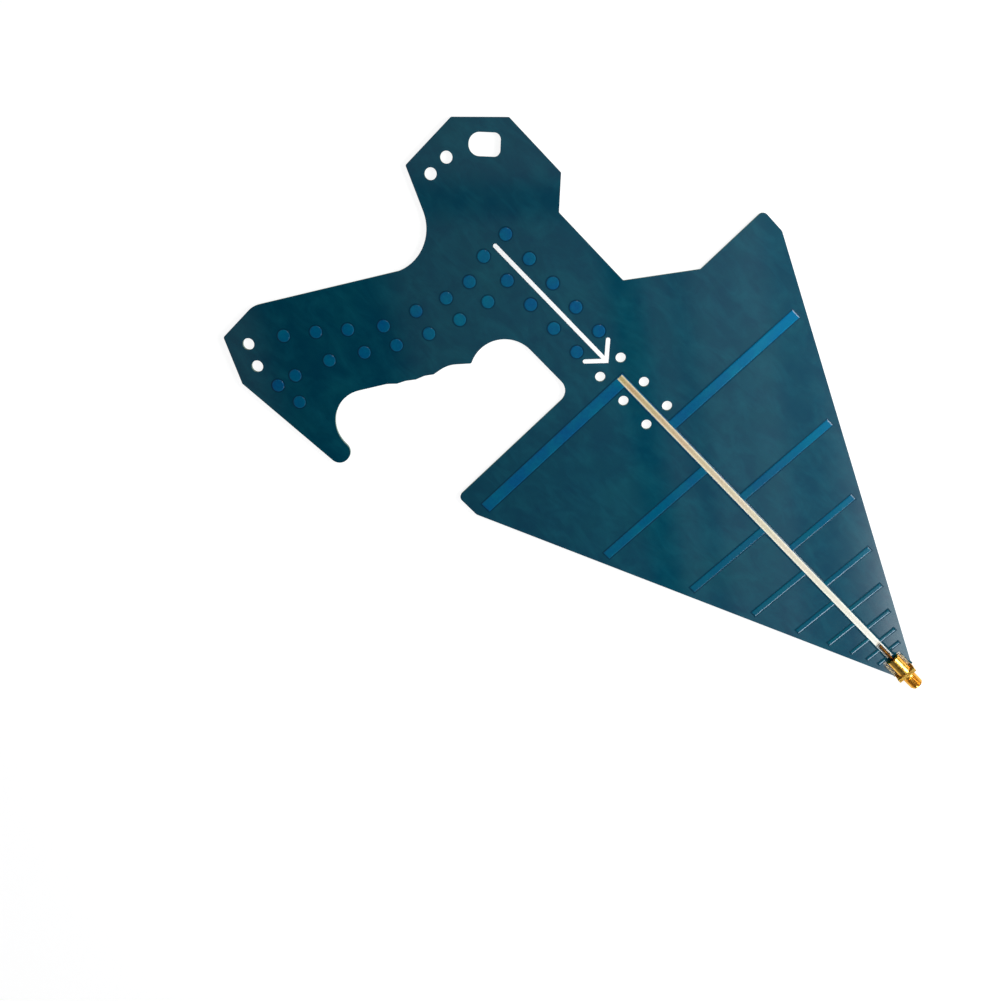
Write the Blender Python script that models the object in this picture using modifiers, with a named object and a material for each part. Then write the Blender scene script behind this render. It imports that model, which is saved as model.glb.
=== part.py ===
# Handheld log-periodic antenna: one printed circuit board that is both the aerial and its pistol
# grip, with an edge-launch coaxial jack at the tip.
#
# Lengths are in metres. While it is drawn, the board's own frame has +X along the boom to the tip,
# +Y to the wing without a grip below it, Z = 0 on the board's underside, and its zero where the
# lines through the element ends meet. At the end everything moves to the middle of the outer box.

import math

import bmesh
import bpy
from mathutils import Matrix, Vector

# Board
BOARD_THICKNESS = 0.0016
BOARD_END = 0.0038            # front end of the board, behind the zero point
WING_BACK = 0.2126            # back edges of both wings
WING_HALF_SPAN = 0.0922
WING_FLAT = 0.0120            # square end of each wing, along the boom
WING_CORNER_RADIUS = 0.0025
CORNER_RADIUS = 0.0010        # routed corners elsewhere
CUSP_RADIUS = 0.0006          # ridges between the finger grooves

# Head, neck and the web up to the wing
WEB_HEIGHT = 0.0570
WEB_RUN = 0.0196
NECK_HEIGHT = 0.0300
NECK_RUN = 0.0402
SHOULDER_RUN = 0.0112
HEAD_HEIGHT = 0.0420
HEAD_RUN = 0.0486
HEAD_CHAMFER = 0.0172
HEEL_DROP = 0.0029

# Grip
GRIP_REACH = 0.1260           # from the wings' back edge to the tail
GRIP_DEPTH = 0.1248           # from the boom's axis to the lowest corner
GUARD_DROP = 0.0201           # from the boom's axis to the roof of the finger opening
GUARD_RADIUS = 0.0061
THUMB_RADIUS = 0.0199
TRIGGER_RADIUS = 0.0158
FIRST_GROOVE_RADIUS = 0.0140
SMALL_GROOVE_RADIUS = 0.0060
PALM_RADIUS = 0.0080
HOOK_RADIUS = 0.0150
HOOK_END_RADIUS = 0.0049
TAIL_RADIUS = 0.0100

# Corners of the grip from the finger opening round to the thumb notch: back from the wings' back
# edge as a share of GRIP_REACH, down from the axis as a share of GRIP_DEPTH, and the radius
GRIP_CORNER_SHARES = (
    (0.317, 0.347, CORNER_RADIUS),
    (0.372, 0.411, FIRST_GROOVE_RADIUS),
    (0.383, 0.473, CUSP_RADIUS),
    (0.402, 0.500, SMALL_GROOVE_RADIUS),
    (0.414, 0.532, CUSP_RADIUS),
    (0.436, 0.562, SMALL_GROOVE_RADIUS),
    (0.451, 0.593, CUSP_RADIUS),
    (0.475, 0.619, PALM_RADIUS),
    (0.637, 0.893, HOOK_RADIUS),
    (0.383, 0.893, HOOK_END_RADIUS),
    (0.383, 0.972, HOOK_END_RADIUS),
    (0.841, 1.000, CORNER_RADIUS),
    (1.000, 0.921, CORNER_RADIUS),
    (1.000, 0.760, TAIL_RADIUS),
    (0.721, 0.296, CORNER_RADIUS),
    (0.663, 0.152, THUMB_RADIUS),
)
TRIGGER_BACK_SHARE = 0.398    # where the roof line and the trigger curve's end line cross

# Holes
BOLT_HOLE_DIAMETER = 0.0045
BOLT_INSET = 0.0044           # first pair, in front of the wings' back edge
BOLT_PITCH = 0.0152
BOLT_SIDE = 0.0062            # from the boom's axis
BOLT_PAIRS = 3
TIE_HOLE_DIAMETER = 0.0053
HEAD_TIE_INSET = 0.0100
HEAD_TIE_HEIGHT = 0.0070
HEAD_TIE_PITCH = 0.0096
TAIL_TIE_BACK_SHARE = 0.883
TAIL_TIE_DOWN_SHARE = 0.893
TAIL_TIE_PITCH = 0.0106
TAIL_EDGE_START = 11          # the two corners of the table whose edge the tail pair follows
TAIL_EDGE_END = 12
SLOT_LENGTH = 0.0136
SLOT_WIDTH = 0.0098
SLOT_ROUND_RADIUS = 0.0047
SLOT_SQUARE_RADIUS = 0.0028
SLOT_INSET = 0.0177
SLOT_HEIGHT = 0.0270
SLOT_ANGLE = math.radians(43)

# Copper: each element stands at the spacing ratio's share of the distance of the one behind it
LONGEST_ELEMENT_BACK = 0.2000
LONGEST_HALF_LENGTH = 0.0866
LONGEST_ELEMENT_WIDTH = 0.0048
SPACING_RATIO = 0.8485
WIDTH_RATIO = 0.885
ELEMENT_COUNT = 17
BOOM_WIDTH = 0.0034
BOOM_END = 0.0137
COPPER_THICKNESS = 0.0001
PLATING_WIDTH = 0.0029
PLATING_THICKNESS = 0.00005
PLATING_INSET = 0.0002        # mask left round the ends of the bare strips
PAD_WIDTH = 0.0014
PAD_EDGE_MARGIN = 0.0001
FORK_BAR = 0.0006

# Raised grip dots and the printed arrow
DOT_DIAMETER = 0.0052
DOT_HEIGHT = 0.00015
DOT_ROW_BACK = 0.2820
DOT_ROW_PITCH = 0.0146
DOT_ROW_SIDE = 0.0067
PRINT_SIDE = 0.0007           # how far the rows and the arrow lie beside the boom's axis
DOT_ROW_COUNT = 5
# Dots down the grip, as shares of GRIP_REACH and GRIP_DEPTH
DOT_PLACE_SHARES = (
    (0.524, 0.146), (0.430, 0.149), (0.541, 0.245), (0.455, 0.265), (0.583, 0.354), (0.496, 0.379),
    (0.627, 0.476), (0.548, 0.492), (0.707, 0.577), (0.610, 0.594), (0.781, 0.666), (0.678, 0.707),
    (0.852, 0.760), (0.727, 0.837), (0.746, 0.910), (0.651, 0.899),
)
ARROW_TIP_BACK = 0.2116
ARROW_LENGTH = 0.0700
ARROW_LINE = 0.0019
ARROW_BARB_RUN = 0.0064
ARROW_BARB_RISE = 0.0070
INK_THICKNESS = 0.00003

# Jack: threaded barrel, flange, four legs and the rounded hood over the centre pin
BARREL_DIAMETER = 0.00635
BARREL_LENGTH = 0.0079
BARREL_CHAMFER = 0.0004
RELIEF_DIAMETER = 0.0054
RELIEF_LENGTH = 0.0010
FLANGE_WIDTH = 0.0095
FLANGE_THICKNESS = 0.0017
FLANGE_TOP_MARGIN = 0.0003    # above the barrel
LEG_LENGTH = 0.0080
LEG_SIZE = 0.0009
HOOD_LENGTH = 0.0091
HOOD_BORE_DIAMETER = 0.0036
INSULATOR_DIAMETER = 0.0041
PIN_DIAMETER = 0.00127
PIN_REACH = 0.0181            # behind the flange
PIN_CHAMFER = 0.0002
SOCKET_DIAMETER = 0.00094
SOCKET_DEPTH = 0.0030

# Solder
SOLDER_HEIGHT = 0.0005
SOLDER_WIDTH = 0.00045
SOLDER_PIN_LENGTH = 0.0070
SOLDER_END = 0.0009
SOLDER_CHAMFER = 0.00015

# Clearances and resolution
SEAT_GAP = 0.00002            # between faces that lie on each other
FIT_GAP = 0.00005             # round the pin, the insulator and the legs
OVERRUN = 0.0010              # how far a cutter reaches past what it cuts
ARC_STEP = math.radians(6)
ROUND_SEGMENTS = 36
HOLE_SEGMENTS = 32
SHARP_ANGLE = math.radians(35)
WELD_DISTANCE = 0.000001

# Heights of the stack of layers, and places on the jack's axis
TOP_SEAT = BOARD_THICKNESS + SEAT_GAP
COPPER_TOP = TOP_SEAT + COPPER_THICKNESS
PLATING_SEAT = COPPER_TOP + SEAT_GAP
PLATING_TOP = PLATING_SEAT + PLATING_THICKNESS
JACK_AXIS = PLATING_TOP + SEAT_GAP + PIN_DIAMETER / 2
UPPER_LEG_SEAT = COPPER_TOP + SEAT_GAP
LOWER_LEG_SEAT = BOARD_THICKNESS - UPPER_LEG_SEAT
FLANGE_BACK = -BOARD_END + SEAT_GAP
FLANGE_FRONT = FLANGE_BACK + FLANGE_THICKNESS
BARREL_END = FLANGE_FRONT + BARREL_LENGTH
HOOD_BACK = FLANGE_BACK - HOOD_LENGTH
LEG_BACK = FLANGE_BACK - LEG_LENGTH
PIN_BACK = FLANGE_BACK - PIN_REACH
LEG_SIDE = FLANGE_WIDTH / 2 - LEG_SIZE / 2
FLANGE_BOTTOM = LOWER_LEG_SEAT - LEG_SIZE
FLANGE_TOP = JACK_AXIS + BARREL_DIAMETER / 2 + FLANGE_TOP_MARGIN
PAD_OUTER = FLANGE_WIDTH / 2 - PAD_EDGE_MARGIN
PAD_INNER = PAD_OUTER - PAD_WIDTH

COLOURS = {
    "solder_mask": ((0.010, 0.075, 0.125, 1), 0.35, 0),
    "masked_copper": ((0.006, 0.130, 0.280, 1), 0.32, 0),
    "plated_copper": ((0.800, 0.680, 0.420, 1), 0.30, 1),
    "white_ink": ((0.850, 0.850, 0.830, 1), 0.60, 0),
    "gold_plate": ((0.830, 0.560, 0.180, 1), 0.22, 1),
    "insulator": ((0.880, 0.870, 0.840, 1), 0.50, 0),
    "solder": ((0.620, 0.620, 0.610, 1), 0.30, 1),
}


def clear_scene():
    """Remove every object, and the collections left empty by that."""
    for item in list(bpy.data.objects):
        bpy.data.objects.remove(item, do_unlink=True)
    for group in list(bpy.data.collections):
        bpy.data.collections.remove(group)


def make_collection(name):
    group = bpy.data.collections.new(name)
    bpy.context.scene.collection.children.link(group)
    return group


def make_material(name):
    """One Principled material from the colour table."""
    colour, roughness, metallic = COLOURS[name]
    material = bpy.data.materials.new(name)
    material.use_nodes = True
    shader = material.node_tree.nodes["Principled BSDF"]
    shader.inputs["Base Color"].default_value = colour
    shader.inputs["Roughness"].default_value = roughness
    shader.inputs["Metallic"].default_value = metallic
    material.diffuse_color = colour
    return material


def link_mesh(name, mesh, group, material=None):
    """Put a mesh in the scene as one named object."""
    item = bpy.data.objects.new(name, mesh)
    group.objects.link(item)
    if material is not None:
        mesh.materials.clear()
        mesh.materials.append(material)
    return item


def arc_points(centre, radius, start, turn):
    """Points on an arc, both ends included."""
    steps = max(1, math.ceil(abs(turn) / ARC_STEP))
    points = []
    for step in range(steps + 1):
        angle = start + turn * step / steps
        points.append(centre + radius * Vector((math.cos(angle), math.sin(angle))))
    return points


def round_corners(corners):
    """Turn (x, y, radius) corners into an outline with an arc at each corner.

    A radius is limited to what fits into half of each neighbouring edge.
    """
    outline = []
    count = len(corners)
    for index, (x, y, radius) in enumerate(corners):
        corner = Vector((x, y))
        before = Vector(corners[index - 1][:2]) - corner
        after = Vector(corners[(index + 1) % count][:2]) - corner
        half_angle = before.angle(after) / 2
        tangent = radius / math.tan(half_angle)
        reach = min(tangent, before.length, after.length)
        radius = reach * math.tan(half_angle)
        start = corner + before.normalized() * reach
        end = corner + after.normalized() * reach
        middle = (before.normalized() + after.normalized()).normalized()
        centre = corner + middle * (radius / math.sin(half_angle))
        first = start - centre
        turn = -first.angle_signed(end - centre)
        outline.extend(arc_points(centre, radius, math.atan2(first.y, first.x), turn))
    return outline


def circle_outline(x, y, diameter):
    points = []
    for step in range(HOLE_SEGMENTS):
        angle = 2 * math.pi * step / HOLE_SEGMENTS
        points.append(Vector((x + diameter / 2 * math.cos(angle), y + diameter / 2 * math.sin(angle))))
    return points


def plate_mesh(name, outlines, bottom, top):
    """A flat plate between two heights; the outlines after the first are holes in it."""
    curve = bpy.data.curves.new(name + "_outline", "CURVE")
    curve.dimensions = "2D"
    curve.fill_mode = "BOTH"
    curve.extrude = (top - bottom) / 2
    for outline in outlines:
        spline = curve.splines.new("POLY")
        spline.points.add(len(outline) - 1)
        for point, place in zip(spline.points, outline):
            point.co = (place[0], place[1], 0, 1)
        spline.use_cyclic_u = True
    holder = bpy.data.objects.new(name + "_outline", curve)
    bpy.context.scene.collection.objects.link(holder)
    graph = bpy.context.evaluated_depsgraph_get()
    mesh = bpy.data.meshes.new_from_object(holder.evaluated_get(graph))
    bpy.data.objects.remove(holder, do_unlink=True)
    mesh.name = name
    mesh.transform(Matrix.Translation((0, 0, (top + bottom) / 2)))
    work = bmesh.new()
    work.from_mesh(mesh)
    bmesh.ops.remove_doubles(work, verts=work.verts, dist=WELD_DISTANCE)
    bmesh.ops.recalc_face_normals(work, faces=work.faces)
    work.to_mesh(mesh)
    work.free()
    return mesh


def box_mesh(name, low, high):
    """A box from its lowest to its highest corner."""
    work = bmesh.new()
    bmesh.ops.create_cube(work, size=1)
    size = Vector(high) - Vector(low)
    middle = (Vector(high) + Vector(low)) / 2
    bmesh.ops.scale(work, vec=size, verts=work.verts)
    bmesh.ops.translate(work, vec=middle, verts=work.verts)
    mesh = bpy.data.meshes.new(name)
    work.to_mesh(mesh)
    work.free()
    return mesh


def turned_mesh(name, profile):
    """Turn a closed (place along X, radius) profile about the jack's axis."""
    mesh = bpy.data.meshes.new(name)
    work = bmesh.new()
    points = [work.verts.new((radius, 0, along)) for along, radius in profile]
    for first, second in zip(points, points[1:]):
        work.edges.new((first, second))
    if profile[0][1] > 0:
        work.edges.new((points[-1], points[0]))
    work.to_mesh(mesh)
    work.free()
    holder = bpy.data.objects.new(name + "_profile", mesh)
    bpy.context.scene.collection.objects.link(holder)
    screw = holder.modifiers.new("turn", "SCREW")
    screw.axis = "Z"
    screw.steps = ROUND_SEGMENTS
    screw.render_steps = ROUND_SEGMENTS
    screw.use_merge_vertices = True
    screw.merge_threshold = WELD_DISTANCE
    graph = bpy.context.evaluated_depsgraph_get()
    turned = bpy.data.meshes.new_from_object(holder.evaluated_get(graph))
    bpy.data.objects.remove(holder, do_unlink=True)
    turned.name = name
    turned.transform(Matrix.Rotation(math.pi / 2, 4, "Y"))
    turned.transform(Matrix.Translation((0, 0, JACK_AXIS)))
    work = bmesh.new()
    work.from_mesh(turned)
    bmesh.ops.remove_doubles(work, verts=work.verts, dist=WELD_DISTANCE)
    bmesh.ops.recalc_face_normals(work, faces=work.faces)
    work.to_mesh(turned)
    work.free()
    return turned


def shade_round(mesh):
    mesh.shade_smooth()
    mesh.set_sharp_from_angle(angle=SHARP_ANGLE)


def combine(item, tool_mesh, operation, tools):
    """Join or cut with a boolean, applied to the item's mesh."""
    tool = link_mesh(item.name + "_" + tool_mesh.name, tool_mesh, tools)
    tool.hide_render = True
    tool.display_type = "WIRE"
    step = item.modifiers.new(tool.name, "BOOLEAN")
    step.operation = operation
    step.object = tool
    graph = bpy.context.evaluated_depsgraph_get()
    result = bpy.data.meshes.new_from_object(item.evaluated_get(graph))
    item.modifiers.remove(step)
    result.name = item.name
    item.data = result


def grip_point(back_share, down_share):
    return (-WING_BACK - GRIP_REACH * back_share, -GRIP_DEPTH * down_share)


def board_corners():
    """The board's outline, from the tip round the upper wing, head, grip and lower wing."""
    tip_side = FLANGE_WIDTH / 2
    flat_front = -WING_BACK + WING_FLAT
    web_back = -WING_BACK - WEB_RUN
    neck_back = web_back - NECK_RUN
    head_front = neck_back - SHOULDER_RUN
    head_back = head_front - HEAD_RUN
    corners = [
        (-BOARD_END, -tip_side, CUSP_RADIUS),
        (-BOARD_END, tip_side, CUSP_RADIUS),
        (flat_front, WING_HALF_SPAN, WING_CORNER_RADIUS),
        (-WING_BACK, WING_HALF_SPAN, WING_CORNER_RADIUS),
        (-WING_BACK, WEB_HEIGHT, CORNER_RADIUS),
        (web_back, NECK_HEIGHT, CORNER_RADIUS),
        (neck_back, NECK_HEIGHT, CORNER_RADIUS),
        (head_front, HEAD_HEIGHT, CORNER_RADIUS),
        (head_back + HEAD_CHAMFER, HEAD_HEIGHT, CORNER_RADIUS),
        (head_back, HEAD_HEIGHT - HEAD_CHAMFER, CORNER_RADIUS),
        (head_back, -HEEL_DROP, CORNER_RADIUS),
    ]
    for back_share, down_share, radius in reversed(GRIP_CORNER_SHARES):
        corners.append((*grip_point(back_share, down_share), radius))
    corners.append((-WING_BACK - GRIP_REACH * TRIGGER_BACK_SHARE, -GUARD_DROP, TRIGGER_RADIUS))
    corners.append((-WING_BACK, -GUARD_DROP, GUARD_RADIUS))
    corners.append((-WING_BACK, -WING_HALF_SPAN, WING_CORNER_RADIUS))
    corners.append((flat_front, -WING_HALF_SPAN, WING_CORNER_RADIUS))
    return corners


def head_back_edge():
    return -WING_BACK - WEB_RUN - NECK_RUN - SHOULDER_RUN - HEAD_RUN


def slot_outline():
    """The hanging slot: one round end and one squarer end, on the slant of the head's chamfer."""
    half_length = SLOT_LENGTH / 2
    half_width = SLOT_WIDTH / 2
    corners = round_corners((
        (-half_length, -half_width, SLOT_ROUND_RADIUS),
        (half_length, -half_width, SLOT_SQUARE_RADIUS),
        (half_length, half_width, SLOT_SQUARE_RADIUS),
        (-half_length, half_width, SLOT_ROUND_RADIUS),
    ))
    centre = Vector((head_back_edge() + SLOT_INSET, SLOT_HEIGHT))
    turn = Matrix.Rotation(SLOT_ANGLE, 2)
    return [centre + turn @ point for point in corners]


def hole_outlines():
    """Bolt holes beside the boom, tie holes in the head and tail, and the hanging slot."""
    holes = []
    for pair in range(BOLT_PAIRS):
        x = -WING_BACK + BOLT_INSET + BOLT_PITCH * pair
        for side in (-1, 1):
            holes.append(circle_outline(x, side * BOLT_SIDE, BOLT_HOLE_DIAMETER))
    tail_start = Vector(grip_point(*GRIP_CORNER_SHARES[TAIL_EDGE_START][:2]))
    tail_end = Vector(grip_point(*GRIP_CORNER_SHARES[TAIL_EDGE_END][:2]))
    tail_way = (tail_end - tail_start).normalized()
    tail_middle = Vector(grip_point(TAIL_TIE_BACK_SHARE, TAIL_TIE_DOWN_SHARE))
    for side in (-1, 1):
        y = HEAD_TIE_HEIGHT + side * HEAD_TIE_PITCH / 2
        holes.append(circle_outline(head_back_edge() + HEAD_TIE_INSET, y, TIE_HOLE_DIAMETER))
        place = tail_middle + tail_way * (side * TAIL_TIE_PITCH / 2)
        holes.append(circle_outline(place.x, place.y, TIE_HOLE_DIAMETER))
    holes.append(slot_outline())
    return holes


def element_sizes(index):
    """Distance behind the zero point, half length and width of one element."""
    ratio = SPACING_RATIO ** index
    width = LONGEST_ELEMENT_WIDTH * WIDTH_RATIO ** index
    return LONGEST_ELEMENT_BACK * ratio, LONGEST_HALF_LENGTH * ratio, width


def boom_back():
    return -LONGEST_ELEMENT_BACK - LONGEST_ELEMENT_WIDTH / 2


def radiator_side(side, first):
    """Outline points along one side of the boom, with every second element, back to front."""
    points = []
    for index in range(first, ELEMENT_COUNT, 2):
        back, half_length, width = element_sizes(index)
        points.append((-back - width / 2, side * BOOM_WIDTH / 2))
        points.append((-back - width / 2, side * half_length))
        points.append((-back + width / 2, side * half_length))
        points.append((-back + width / 2, side * BOOM_WIDTH / 2))
    return points


def radiator_outline(first_side, forked):
    """Boom and elements of one face; the longest element points to first_side."""
    near = radiator_side(first_side, 0)
    far = radiator_side(-first_side, 1)
    half_boom = BOOM_WIDTH / 2
    if forked:
        bar_front = -BOOM_END + FORK_BAR
        arm_front = -BOARD_END - PAD_EDGE_MARGIN
        end = []
        for side in (first_side, -first_side):
            arm = [
                (-BOOM_END, side * half_boom),
                (-BOOM_END, side * PAD_OUTER),
                (arm_front, side * PAD_OUTER),
                (arm_front, side * PAD_INNER),
                (bar_front, side * PAD_INNER),
            ]
            end.extend(arm if side == first_side else reversed(arm))
    else:
        end = [(-BOOM_END, first_side * half_boom), (-BOOM_END, -first_side * half_boom)]
    back = [(boom_back(), -first_side * half_boom)]
    return near + end + list(reversed(far)) + back


def arrow_outline():
    """A shaft and two barbs of one line width, with round ends."""
    half = ARROW_LINE / 2
    tip = Vector((-ARROW_TIP_BACK, 0))
    barb_end = tip + Vector((-ARROW_BARB_RUN, ARROW_BARB_RISE))
    way = (barb_end - tip).normalized()
    across = Vector((way.y, -way.x))
    slant = math.atan2(way.y, way.x)
    inner_slope = way.y / way.x
    inner_start = tip - across * half
    inner_x = inner_start.x + (half - inner_start.y) / inner_slope
    upper = [Vector((inner_x, half))]
    upper.extend(reversed(arc_points(barb_end, half, slant - math.pi / 2, math.pi)))
    outer_start = tip + across * half
    outer_x = outer_start.x - outer_start.y / inner_slope
    rear = arc_points(Vector((-ARROW_TIP_BACK - ARROW_LENGTH, 0)), half, -math.pi / 2, -math.pi)
    lower = [Vector((point.x, -point.y)) for point in reversed(upper)]
    beside = Vector((0, PRINT_SIDE))
    return [point + beside for point in rear + upper + [Vector((outer_x, 0))] + lower]


def build_board(parts, material):
    outline = round_corners(board_corners())
    mesh = plate_mesh("laminate_board", [outline] + hole_outlines(), 0, BOARD_THICKNESS)
    link_mesh("laminate_board", mesh, parts, material)
    return outline


def build_copper(parts, masked, bare):
    """Etched copper of both faces, the bare strips on the booms and the two front ground pads."""
    underside = -SEAT_GAP
    front = plate_mesh("front_radiator", [radiator_outline(-1, False)], TOP_SEAT, COPPER_TOP)
    link_mesh("front_radiator", front, parts, masked)
    rear = plate_mesh("rear_radiator", [radiator_outline(1, True)], underside - COPPER_THICKNESS, underside)
    link_mesh("rear_radiator", rear, parts, masked)
    strip = [
        (boom_back() + PLATING_INSET, -PLATING_WIDTH / 2),
        (-BOOM_END - PLATING_INSET, -PLATING_WIDTH / 2),
        (-BOOM_END - PLATING_INSET, PLATING_WIDTH / 2),
        (boom_back() + PLATING_INSET, PLATING_WIDTH / 2),
    ]
    plating = plate_mesh("front_boom_plating", [strip], PLATING_SEAT, PLATING_TOP)
    link_mesh("front_boom_plating", plating, parts, bare)
    low = BOARD_THICKNESS - PLATING_TOP
    high = BOARD_THICKNESS - PLATING_SEAT
    plating = plate_mesh("rear_boom_plating", [strip], low, high)
    link_mesh("rear_boom_plating", plating, parts, bare)
    pad_back = -BOOM_END + FORK_BAR
    pad_front = -BOARD_END - PAD_EDGE_MARGIN
    for name, side in (("right", 1), ("left", -1)):
        edges = sorted((side * PAD_INNER, side * PAD_OUTER))
        pad = box_mesh("pad", (pad_back, edges[0], TOP_SEAT), (pad_front, edges[1], COPPER_TOP))
        link_mesh("front_ground_pad_" + name, pad, parts, bare)


def dot_places():
    places = []
    for index in range(DOT_ROW_COUNT):
        for side in (1, -1):
            places.append((-DOT_ROW_BACK + DOT_ROW_PITCH * index, PRINT_SIDE + side * DOT_ROW_SIDE))
    places.extend(grip_point(*shares) for shares in DOT_PLACE_SHARES)
    return places


def build_dots(parts, material):
    """Raised discs under the solder mask, all of one mesh."""
    work = bmesh.new()
    bmesh.ops.create_cone(work, cap_ends=True, segments=HOLE_SEGMENTS, radius1=DOT_DIAMETER / 2,
                          radius2=DOT_DIAMETER / 2 - DOT_HEIGHT, depth=DOT_HEIGHT)
    mesh = bpy.data.meshes.new("grip_dot")
    work.to_mesh(mesh)
    work.free()
    shade_round(mesh)
    for index, (x, y) in enumerate(dot_places()):
        dot = link_mesh("grip_dot_%02d" % (index + 1), mesh, parts, material)
        dot.location = (x, y, TOP_SEAT + DOT_HEIGHT / 2)


def build_arrow(parts, material):
    mesh = plate_mesh("arrow_print", [arrow_outline()], TOP_SEAT, TOP_SEAT + INK_THICKNESS)
    link_mesh("arrow_print", mesh, parts, material)


def build_jack(parts, tools, gold, plastic):
    """Body with barrel, flange, hood and legs; insulator; centre contact."""
    barrel = BARREL_DIAMETER / 2
    relief = RELIEF_DIAMETER / 2
    bore = INSULATOR_DIAMETER / 2 + FIT_GAP
    hood_bore = HOOD_BORE_DIAMETER / 2
    half_width = FLANGE_WIDTH / 2
    flange_middle = FLANGE_BACK + FLANGE_THICKNESS / 2
    body = link_mesh("jack_body", turned_mesh("jack_body", [
        (HOOD_BACK, 0),
        (HOOD_BACK, barrel),
        (flange_middle, barrel),
        (flange_middle, relief),
        (FLANGE_FRONT + RELIEF_LENGTH, relief),
        (FLANGE_FRONT + RELIEF_LENGTH, barrel),
        (BARREL_END - BARREL_CHAMFER, barrel),
        (BARREL_END, barrel - BARREL_CHAMFER),
        (BARREL_END, 0),
    ]), parts)
    flange = box_mesh("flange", (FLANGE_BACK, -half_width, FLANGE_BOTTOM),
                      (FLANGE_FRONT, half_width, FLANGE_TOP))
    combine(body, flange, "UNION", tools)
    for name, side in (("right", 1), ("left", -1)):
        edges = sorted((side * half_width, side * (half_width - LEG_SIZE)))
        for face, low in (("upper", UPPER_LEG_SEAT), ("lower", FLANGE_BOTTOM)):
            leg = box_mesh("leg_%s_%s" % (face, name), (LEG_BACK, edges[0], low),
                           (flange_middle, edges[1], low + LEG_SIZE))
            combine(body, leg, "UNION", tools)
    bores = turned_mesh("bores", [
        (HOOD_BACK - OVERRUN, 0),
        (HOOD_BACK - OVERRUN, hood_bore),
        (FLANGE_BACK, hood_bore),
        (FLANGE_BACK, bore),
        (BARREL_END + OVERRUN, bore),
        (BARREL_END + OVERRUN, 0),
    ])
    combine(body, bores, "DIFFERENCE", tools)
    slot = box_mesh("board_slot", (HOOD_BACK - OVERRUN, -barrel - OVERRUN, LOWER_LEG_SEAT),
                    (FLANGE_BACK, barrel + OVERRUN, TOP_SEAT))
    combine(body, slot, "DIFFERENCE", tools)
    body.data.materials.clear()
    body.data.materials.append(gold)
    shade_round(body.data)

    pin = PIN_DIAMETER / 2
    insulator_bore = pin + FIT_GAP
    insulator = turned_mesh("jack_insulator", [
        (FLANGE_BACK + FIT_GAP, INSULATOR_DIAMETER / 2),
        (BARREL_END, INSULATOR_DIAMETER / 2),
        (BARREL_END, insulator_bore),
        (FLANGE_BACK + FIT_GAP, insulator_bore),
    ])
    shade_round(insulator)
    link_mesh("jack_insulator", insulator, parts, plastic)
    contact = turned_mesh("jack_contact", [
        (PIN_BACK, 0),
        (PIN_BACK, pin - PIN_CHAMFER),
        (PIN_BACK + PIN_CHAMFER, pin),
        (BARREL_END, pin),
        (BARREL_END, SOCKET_DIAMETER / 2),
        (BARREL_END - SOCKET_DEPTH, SOCKET_DIAMETER / 2),
        (BARREL_END - SOCKET_DEPTH, 0),
    ])
    shade_round(contact)
    link_mesh("jack_contact", contact, parts, gold)


def solder_bead(name, outline, seat, outward, parts, material):
    """A low bead on a pad, its free face a little smaller than its foot."""
    height = SOLDER_HEIGHT
    bottom, top = (seat, seat + height) if outward > 0 else (seat - height, seat)
    mesh = plate_mesh(name, [outline], bottom, top)
    bead = link_mesh(name, mesh, parts, material)
    rim = bead.modifiers.new("rim", "BEVEL")
    rim.width = SOLDER_CHAMFER
    rim.segments = 1
    rim.limit_method = "ANGLE"
    graph = bpy.context.evaluated_depsgraph_get()
    result = bpy.data.meshes.new_from_object(bead.evaluated_get(graph))
    bead.modifiers.remove(rim)
    bead.data = result
    shade_round(bead.data)


def build_solder(parts, material):
    """A horseshoe round the pin's end, and a hook round each leg's end and inner side."""
    inner = PIN_DIAMETER / 2 + FIT_GAP
    outer = inner + SOLDER_WIDTH
    front = PIN_BACK + SOLDER_PIN_LENGTH
    back = PIN_BACK - FIT_GAP
    horseshoe = [
        (front, -outer), (front, -inner), (back, -inner), (back, inner),
        (front, inner), (front, outer), (back - SOLDER_END, outer), (back - SOLDER_END, -outer),
    ]
    solder_bead("pin_solder", horseshoe, PLATING_TOP + SEAT_GAP, 1, parts, material)
    leg_inner = FLANGE_WIDTH / 2 - LEG_SIZE - FIT_GAP
    bead_inner = PAD_INNER
    leg_end = LEG_BACK - FIT_GAP
    bead_front = FLANGE_BACK - FIT_GAP - SOLDER_WIDTH
    bead_back = leg_end - SOLDER_END
    for name, side in (("right", 1), ("left", -1)):
        hook = [
            (bead_front, side * leg_inner), (leg_end, side * leg_inner), (leg_end, side * PAD_OUTER),
            (bead_back, side * PAD_OUTER), (bead_back, side * bead_inner), (bead_front, side * bead_inner),
        ]
        solder_bead("front_leg_solder_" + name, hook, UPPER_LEG_SEAT, 1, parts, material)
        solder_bead("rear_leg_solder_" + name, hook, LOWER_LEG_SEAT, -1, parts, material)


def move_to_frame(parts, outline):
    """Put the zero point at the middle of the outer box, at the height of its lowest face."""
    xs = [point.x for point in outline] + [BARREL_END]
    ys = [point.y for point in outline]
    shift = Vector((-(min(xs) + max(xs)) / 2, -(min(ys) + max(ys)) / 2, -FLANGE_BOTTOM))
    moved = set()
    for item in parts.objects:
        if item.location.length > 0:
            item.location += shift
        elif item.data.name not in moved:
            item.data.transform(Matrix.Translation(shift))
            moved.add(item.data.name)


def main():
    clear_scene()
    parts = make_collection("log_periodic_antenna")
    tools = make_collection("cutters")
    materials = {name: make_material(name) for name in COLOURS}
    outline = build_board(parts, materials["solder_mask"])
    build_copper(parts, materials["masked_copper"], materials["plated_copper"])
    build_dots(parts, materials["masked_copper"])
    build_arrow(parts, materials["white_ink"])
    build_jack(parts, tools, materials["gold_plate"], materials["insulator"])
    build_solder(parts, materials["solder"])
    move_to_frame(parts, outline)


main()
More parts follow.
